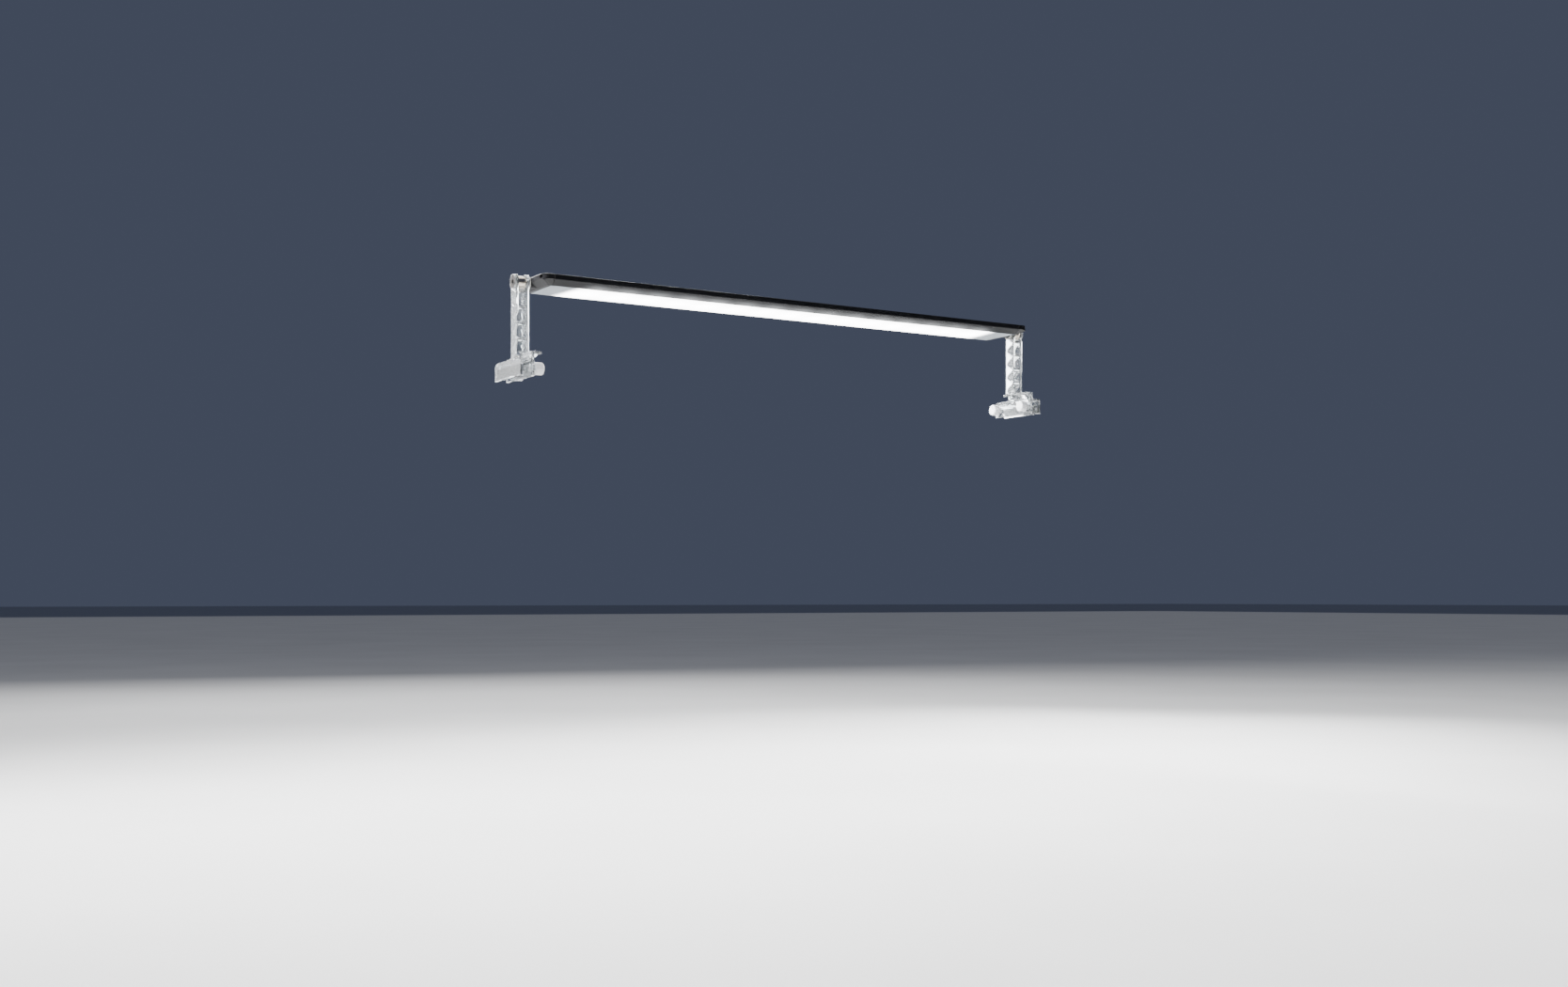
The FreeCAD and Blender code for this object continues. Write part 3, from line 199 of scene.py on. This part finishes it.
def painted_spill_glow(make):
    """Painted light: an emission glow standing in for the light that the window's LEDs throw on the sloped
    underside, strongest beside the window.
    """
    rise = make.span(make.axis("Z"), UNDERSIDE, UNDERSIDE + PAINTED_GLOW_HEIGHT, 1.0, 0.0, "SMOOTHSTEP")
    beat = led_beat(make, make.axis("X"))
    spots = make.span(beat, -1.0, 1.0, 0.55, 1.0)
    along = make.math("ABSOLUTE", make.axis("X"))
    lit = make.span(along, LIT_HALF - PAINTED_GLOW_START, LIT_HALF + PAINTED_GLOW_END, 1.0, 0.0, "SMOOTHERSTEP")
    amount = make.math("MULTIPLY", make.math("MULTIPLY", rise, rise), make.math("MULTIPLY", spots, lit))
    return make.math("MULTIPLY", amount, PAINTED_GLOW_STRENGTH)


def anodised_black():
    """Extruded aluminium, black anodised: faint draw lines, fine grain and a painted glow standing in for
    the light spilled on it.
    """
    make = Nodes("anodised_black")
    lines = make.noise(1.0, detail=4, vector=make.stretch((3, 1800, 1800)))
    grain = make.noise(9000, detail=2)
    cloud = make.noise(18, detail=3)
    mixed = make.math("MULTIPLY_ADD", lines, 0.5, make.math("MULTIPLY", cloud, 0.5))
    tone = make.tones(mixed, (0.0040, 0.0042, 0.0050), (0.0085, 0.0088, 0.0100))
    rough = make.span(make.math("ADD", lines, grain), 0.6, 1.4, 0.27, 0.40)
    fine = make.bump(grain, 0.08)
    normal = make.bump(lines, 0.10, below=fine)
    make.set(Base_Color=tone, Roughness=rough, Normal=normal, Specular_IOR_Level=0.07)
    # painted light: emission on the underside, in place of the LEDs' spilled light
    make.set(Emission_Color=(0.93, 0.97, 1.0, 1), Emission_Strength=painted_spill_glow(make))
    return make.material


def moulded_black():
    """Black moulded plastic with a fine spark-eroded texture."""
    make = Nodes("moulded_black")
    pits = make.add("ShaderNodeTexVoronoi")
    make.join(make.place, pits.inputs["Vector"])
    pits.inputs["Scale"].default_value = 5200
    cloud = make.noise(60, detail=3)
    tone = make.tones(cloud, (0.0045, 0.0045, 0.0050), (0.0080, 0.0080, 0.0090))
    rough = make.vary(make.noise(1500), 0.30, 0.40)
    normal = make.bump(pits.outputs["Distance"], 0.05)
    make.set(Base_Color=tone, Roughness=rough, Normal=normal, Specular_IOR_Level=0.10)
    return make.material


def black_rubber():
    """Soft black rubber, dull and slightly cloudy."""
    make = Nodes("black_rubber")
    cloud = make.noise(400, detail=4)
    tone = make.tones(cloud, grey(0.008), grey(0.017))
    make.set(Base_Color=tone, Roughness=make.vary(cloud, 0.6, 0.8))
    make.set(Normal=make.bump(make.noise(3000), 0.2))
    return make.material


def lit_window():
    """Opal window lit from behind: even white, a little brighter at each LED, dark past the last ones."""
    make = Nodes("lit_window")
    along = make.axis("X")
    beat = led_beat(make, along)
    across = make.axis("Y")
    centre = make.span(make.math("ABSOLUTE", across), 0.0, WINDOW_HALF, 1.0, 0.78, "SMOOTHSTEP")
    spots = make.span(beat, -1.0, 1.0, 0.93, 1.07)
    past = make.math("SUBTRACT", make.math("ABSOLUTE", along), make.math("MULTIPLY", across, 0.10))
    lit = make.span(past, LIT_HALF, LIT_HALF + WINDOW_FADE, 1.0, 0.006, "SMOOTHERSTEP")
    haze = make.span(make.noise(300, detail=3), 0.2, 0.8, 0.985, 1.015)
    glow = make.math("MULTIPLY", make.math("MULTIPLY", centre, spots), make.math("MULTIPLY", lit, haze))
    strength = make.math("MULTIPLY", glow, WINDOW_GLOW)
    tone = make.tones(make.noise(120), (0.20, 0.23, 0.26), (0.25, 0.28, 0.31))
    make.set(Base_Color=tone, Roughness=make.vary(make.noise(2200), 0.32, 0.42))
    make.set(Normal=make.bump(make.noise(2500, detail=2), 0.08))
    make.set(Emission_Color=(1.0, 1.0, 1.0, 1), Emission_Strength=strength)
    make.set(Subsurface_Weight=0.3, Subsurface_Radius=(0.003, 0.003, 0.003))
    return make.material


def clear_moulded():
    """Clear moulded acrylic: slight flow waves, fine polish marks and a little haze along its edges."""
    make = Nodes("clear_moulded")
    flow = make.noise(90, detail=2, vector=make.stretch((1, 1, 0.45)))
    marks = make.noise(1400, detail=3, vector=make.stretch((1, 1, 0.2)))
    edge = make.add("ShaderNodeNewGeometry").outputs["Pointiness"]
    worn = make.span(edge, 0.52, 0.60, 0.0, 0.10)
    tone = make.tones(flow, (0.90, 0.94, 0.96), (0.97, 0.99, 1.0), low=0.2, high=0.8)
    rough = make.math("ADD", make.vary(marks, 0.02, 0.06), worn)
    normal = make.bump(marks, 0.03, below=make.bump(flow, 0.12, 0.0006))
    make.set(Base_Color=tone, Roughness=rough, Normal=normal)
    make.set(Transmission_Weight=0.92, IOR=1.49, Specular_IOR_Level=0.6)
    return make.material


def milky_silicone():
    """Soft clear silicone with a faint milkiness."""
    make = Nodes("milky_silicone")
    cloud = make.noise(500, detail=3)
    tone = make.tones(cloud, (0.86, 0.89, 0.91), (0.95, 0.97, 0.98))
    make.set(Base_Color=tone, Roughness=make.vary(cloud, 0.16, 0.28))
    make.set(Normal=make.bump(make.noise(2600), 0.10))
    make.set(Transmission_Weight=0.82, IOR=1.41)
    return make.material


def frosted_nylon():
    """Frosted white nylon of the thumbscrews, a little polished where fingers hold it."""
    make = Nodes("frosted_nylon")
    cloud = make.noise(700, detail=4)
    edge = make.add("ShaderNodeNewGeometry").outputs["Pointiness"]
    tone = make.tones(cloud, (0.90, 0.92, 0.94), (0.97, 0.98, 0.99))
    worn = make.span(edge, 0.50, 0.62, 0.0, -0.12)
    make.set(Base_Color=tone, Roughness=make.math("ADD", make.vary(cloud, 0.34, 0.48), worn))
    make.set(Normal=make.bump(make.noise(3200, detail=3), 0.16))
    make.set(Transmission_Weight=0.12, IOR=1.5)
    make.set(Subsurface_Weight=0.4, Subsurface_Radius=(0.0015, 0.0015, 0.0015))
    return make.material


def blackened_steel():
    """Black oxide on a turned screw head, rubbed a little brighter at its edges."""
    make = Nodes("blackened_steel")
    rings = make.noise(1.0, detail=3, vector=make.stretch((9000, 260, 260)))
    edge = make.add("ShaderNodeNewGeometry").outputs["Pointiness"]
    rub = make.math("MULTIPLY", make.span(edge, 0.52, 0.60, 0.0, 0.6), rings)
    tone = make.tones(rub, (0.020, 0.020, 0.022), (0.16, 0.15, 0.145), low=0.0, high=0.5)
    make.set(Base_Color=tone, Roughness=make.vary(rings, 0.22, 0.36))
    make.set(Normal=make.bump(rings, 0.12), Metallic=0.7)
    return make.material


def turned_metal(name, dark, pale, rough_low, rough_high):
    """Turned metal: fine bands across X, the axis of most of its pieces, with a little stain."""
    make = Nodes(name)
    rings = make.noise(1.0, detail=3, vector=make.stretch((9000, 260, 260)))
    stain = make.noise(260, detail=4)
    mixed = make.math("MULTIPLY_ADD", rings, 0.6, make.math("MULTIPLY", stain, 0.4))
    tone = make.tones(mixed, dark, pale)
    make.set(Base_Color=tone, Roughness=make.vary(rings, rough_low, rough_high))
    make.set(Normal=make.bump(rings, 0.05), Metallic=1.0)
    return make.material


def stainless():
    return turned_metal("stainless", (0.50, 0.44, 0.36), (0.80, 0.73, 0.62), 0.16, 0.26)


def nickel():
    return turned_metal("nickel", (0.55, 0.53, 0.49), (0.74, 0.71, 0.66), 0.22, 0.36)


def brass():
    return turned_metal("brass", (0.58, 0.40, 0.14), (0.83, 0.62, 0.28), 0.22, 0.38)


def clouded(name, grain, detail, dark, pale, rough_low, rough_high, relief, depth=FINE_RELIEF):
    """Even finish with one cloudy grain in its tone, its gloss and its relief."""
    make = Nodes(name)
    cloud = make.noise(grain, detail=detail)
    make.set(Base_Color=make.tones(cloud, dark, pale))
    make.set(Roughness=make.vary(cloud, rough_low, rough_high), Normal=make.bump(cloud, relief, depth))
    return make


def grey_heat_pad():
    pad = clouded("grey_heat_pad", 900, 4, (0.20, 0.22, 0.25), (0.30, 0.32, 0.35), 0.7, 0.85, 0.3, 0.0002)
    return pad.material


def circuit_board():
    """White solder mask with slightly raised copper under it."""
    make = Nodes("circuit_board")
    tracks = make.add("ShaderNodeTexBrick")
    make.join(make.place, tracks.inputs["Vector"])
    tracks.inputs["Scale"].default_value = 60
    tracks.inputs["Mortar Size"].default_value = 0.03
    tone = make.tones(make.noise(300), (0.78, 0.80, 0.77), (0.88, 0.89, 0.87))
    make.set(Base_Color=tone, Roughness=make.vary(make.noise(900), 0.25, 0.4))
    make.set(Normal=make.bump(tracks.outputs["Fac"], 0.4))
    return make.material


def phosphor():
    """Yellow phosphor of the LEDs, glowing a little."""
    make = clouded("phosphor", 1500, 2, (0.95, 0.74, 0.22), (1.0, 0.84, 0.36), 0.3, 0.45, 0.1)
    make.set(Emission_Color=(1.0, 0.96, 0.88, 1), Emission_Strength=2.0)
    return make.material


def electronics():
    return clouded("electronics", 1200, 4, grey(0.018), grey(0.04), 0.4, 0.6, 0.2).material


def white_film():
    return clouded("white_film", 2000, 3, grey(0.84), grey(0.93), 0.5, 0.65, 0.1).material


def ivory_nylon():
    return clouded("ivory_nylon", 900, 3, (0.70, 0.68, 0.62), (0.82, 0.80, 0.75), 0.35, 0.5, 0.12).material


FINISHES = {
    "black_aluminium": anodised_black,
    "black_plastic": moulded_black,
    "black_rubber": black_rubber,
    "stainless_steel": stainless,
    "black_steel": blackened_steel,
    "nickel_plate": nickel,
    "brass": brass,
    "grey_pad": grey_heat_pad,
    "circuit_board": circuit_board,
    "led_phosphor": phosphor,
    "electronics": electronics,
    "white_film": white_film,
    "white_window": lit_window,
    "nylon": ivory_nylon,
    "clear_plastic": clear_moulded,
    "clear_silicone": milky_silicone,
    "frosted_nylon": frosted_nylon,
}


def paint(item, material):
    """Give a piece one material all over."""
    item.data.materials.clear()
    item.data.materials.append(material)


def paint_frame():
    """Give every CAD node its finish."""
    made = {slot: make() for slot, make in FINISHES.items()}
    slots = {entry["node"]: entry["material_slot"] for entry in frame["record"]["subparts"]}
    for name, item in frame["nodes"].items():
        paint(item, made[slots[name]])
    return made


# ---------------------------------------------------------------- pieces

CLEAR_EDGE = 0.00025      # rounding of the clear moulding's edges
KNOB_EDGE = 0.00022       # rounding of a thumbscrew's edges
EDGE_SEGMENTS = 2
SHARP_EDGE = math.radians(32)       # edges sharper than this are rounded
SMOOTH_EDGE = math.radians(35)      # edges softer than this are shaded smooth
FLAT_EDGE = math.radians(1.5)       # edges flatter than this are dissolved into their face
MERGE_GAP = 2e-6
HEAD_LENGTH = 0.0061      # head of a thumbscrew
STEM_RADIUS = 0.00195     # root of a thumbscrew's thread
THREAD_PITCH = 0.0007
THREAD_DEPTH = 0.0002
THREAD_RIDGE = ((0.15, 0.0), (0.50, THREAD_DEPTH), (0.85, 0.0))     # share of the pitch, height
LATHE_STEPS = 40


def deselect():
    bpy.ops.object.select_all(action="DESELECT")


def pick(item):
    """Make the item the only one selected, and the active one."""
    deselect()
    item.select_set(True)
    bpy.context.view_layer.objects.active = item


def copy_node(node, name):
    """A merged, cleaned copy of a CAD node, ready for finer edges."""
    mesh = frame["nodes"][node].data.copy()
    mesh.name = name
    item = bpy.data.objects.new(name, mesh)
    bpy.context.collection.objects.link(item)
    pick(item)
    bpy.ops.object.mode_set(mode="EDIT")
    bpy.ops.mesh.select_all(action="SELECT")
    bpy.ops.mesh.remove_doubles(threshold=MERGE_GAP)
    bpy.ops.mesh.dissolve_limited(angle_limit=FLAT_EDGE, delimit={"NORMAL"})
    bpy.ops.mesh.select_all(action="SELECT")
    bpy.ops.mesh.normals_make_consistent(inside=False)
    bpy.ops.object.mode_set(mode="OBJECT")
    return item


def finish_mesh(item, body, slot):
    """Smooth the soft edges, put the piece on its body and give it its slot's finish."""
    pick(item)
    bpy.ops.object.shade_smooth_by_angle(angle=SMOOTH_EDGE)
    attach(item, body)
    paint(item, finishes[slot])


def soften(node, name, body, slot, width):
    """Round every sharp edge of a copy of a CAD node, as a mould leaves it; the copy replaces the node."""
    item = copy_node(node, name)
    rounding = item.modifiers.new("edge_round", "BEVEL")
    rounding.width = width
    rounding.segments = EDGE_SEGMENTS
    rounding.limit_method = "ANGLE"
    rounding.angle_limit = SHARP_EDGE
    bpy.ops.object.modifier_apply(modifier="edge_round")
    finish_mesh(item, body, slot)
    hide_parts(node)


def turned(name, start, profile):
    """Lathe work about an X axis: the profile is (x, radius) steps from start, a point on the axis."""
    deselect()
    bpy.ops.mesh.primitive_plane_add(size=0.001, location=(0, 0, 0))
    item = bpy.context.active_object
    item.name = name
    bpy.ops.object.mode_set(mode="EDIT")
    bpy.ops.mesh.select_all(action="SELECT")
    bpy.ops.mesh.merge(type="CENTER")
    place = Vector(start) + Vector((profile[0][0], 0, profile[0][1]))
    bpy.ops.transform.translate(value=place)
    for (x, radius), (next_x, next_radius) in zip(profile, profile[1:]):
        step = (next_x - x, 0, next_radius - radius)
        bpy.ops.mesh.extrude_region_move(TRANSFORM_OT_translate={"value": step})
    bpy.ops.mesh.select_all(action="SELECT")
    bpy.ops.mesh.spin(steps=LATHE_STEPS, angle=2 * math.pi, center=start, axis=(1, 0, 0))
    bpy.ops.mesh.select_all(action="SELECT")
    bpy.ops.mesh.remove_doubles(threshold=MERGE_GAP)
    bpy.ops.mesh.normals_make_consistent(inside=False)
    bpy.ops.object.mode_set(mode="OBJECT")
    return item


def add_thread(end, side):
    """Ridges of the thumbscrew's thread, from its head to the back of the soft tip."""
    facing = SIDES[side]
    knob_low, knob_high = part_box(f"thumbscrew_{end}_{side}")
    tip_low, tip_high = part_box(f"screw_tip_{end}_{side}")
    middle = (knob_low + knob_high) / 2
    head = knob_low.x + HEAD_LENGTH if facing > 0 else knob_high.x - HEAD_LENGTH
    back = (tip_low.x if facing > 0 else tip_high.x) - facing * THREAD_PITCH
    count = int(abs(back - head) / THREAD_PITCH)
    buried = STEM_RADIUS - THREAD_DEPTH / 2
    profile = [(0.0, buried)]
    for turn in range(count):
        for share, height in THREAD_RIDGE:
            profile.append((facing * (turn + share) * THREAD_PITCH, STEM_RADIUS + height))
    profile.append((facing * count * THREAD_PITCH, buried))
    profile.append(profile[0])
    item = turned(f"thread_{end}_{side}", (head, middle.y, middle.z), profile)
    finish_mesh(item, f"thumbscrew_{end}_{side}", "frosted_nylon")


# ---------------------------------------------------------------- stage and light

FLOOR_LEVEL = -0.30
FLOOR_SIZE = 60
WASH_LIFT = 0.12          # height of the floor's own light above it
WASH_SIZE = (26, 26)
LAMP_MIDDLE = (0, 0, 0.04)
STRIP_SIZE = (0.7, 0.6)
STRIP_SPREAD = math.radians(75)      # narrow, so that the strips leave the floor alone
BACKGROUND = (0.060, 0.071, 0.108, 1)


def add_stage():
    """Pale floor well below the lamp, as under a tank on its stand."""
    deselect()
    bpy.ops.mesh.primitive_plane_add(size=FLOOR_SIZE, location=(0, 0, FLOOR_LEVEL))
    floor = bpy.context.active_object
    floor.name = "floor"
    make = Nodes("pale_floor")
    tone = make.tones(make.noise(3), grey(0.56), grey(0.61))
    make.set(Base_Color=tone, Roughness=0.85, Normal=make.bump(make.noise(60, detail=4), 0.05, 0.001))
    paint(floor, make.material)


def add_light(name, place, target, size, power):
    """Soft rectangular light at a place, aimed at a target."""
    data = bpy.data.lights.new(name, "AREA")
    data.shape = "RECTANGLE"
    data.size, data.size_y = size
    data.energy = power
    item = bpy.data.objects.new(name, data)
    item.location = place
    item.rotation_euler = (Vector(target) - Vector(place)).to_track_quat("-Z", "Y").to_euler()
    bpy.context.collection.objects.link(item)
    return item


def add_lights():
    """Slate blue room, soft lights round the lamp and a wash over the floor."""
    world = bpy.data.worlds.new("studio")
    world.use_nodes = True
    background = world.node_tree.nodes["Background"]
    background.inputs["Color"].default_value = BACKGROUND
    background.inputs["Strength"].default_value = 1.0
    bpy.context.scene.world = world
    add_light("key", (-1.2, -1.3, 1.1), LAMP_MIDDLE, (0.9, 0.9), 24)
    strips = [
        add_light("left_strip", (-1.3, 0.3, 0.32), (-0.22, 0, 0.03), STRIP_SIZE, 34),
        add_light("right_strip", (1.2, 0.7, 0.35), (0.22, 0, 0.03), STRIP_SIZE, 40),
    ]
    for strip in strips:
        strip.data.spread = STRIP_SPREAD
        strip.visible_glossy = False
    add_light("back", (0.2, 1.5, 0.9), LAMP_MIDDLE, (1.4, 0.5), 42)
    add_light("top", (0, 0.1, 1.3), LAMP_MIDDLE, (1.6, 0.8), 12)
    wash = add_light("floor_wash", (0, 0, FLOOR_LEVEL + WASH_LIFT), (0, 0, FLOOR_LEVEL), WASH_SIZE, 300)
    wash.visible_camera = False


# ---------------------------------------------------------------- make it

add_camera()
finishes = paint_frame()
for side in SIDES:
    for stem in ("arm", "clamp"):
        soften(f"{stem}_{side}", f"clear_{stem}_{side}", f"arm_{side}", "clear_plastic", CLEAR_EDGE)
    for end in ENDS:
        screw = f"thumbscrew_{end}_{side}"
        soften(screw, f"knob_{end}_{side}", screw, "frosted_nylon", KNOB_EDGE)
        add_thread(end, side)
add_stage()
add_lights()
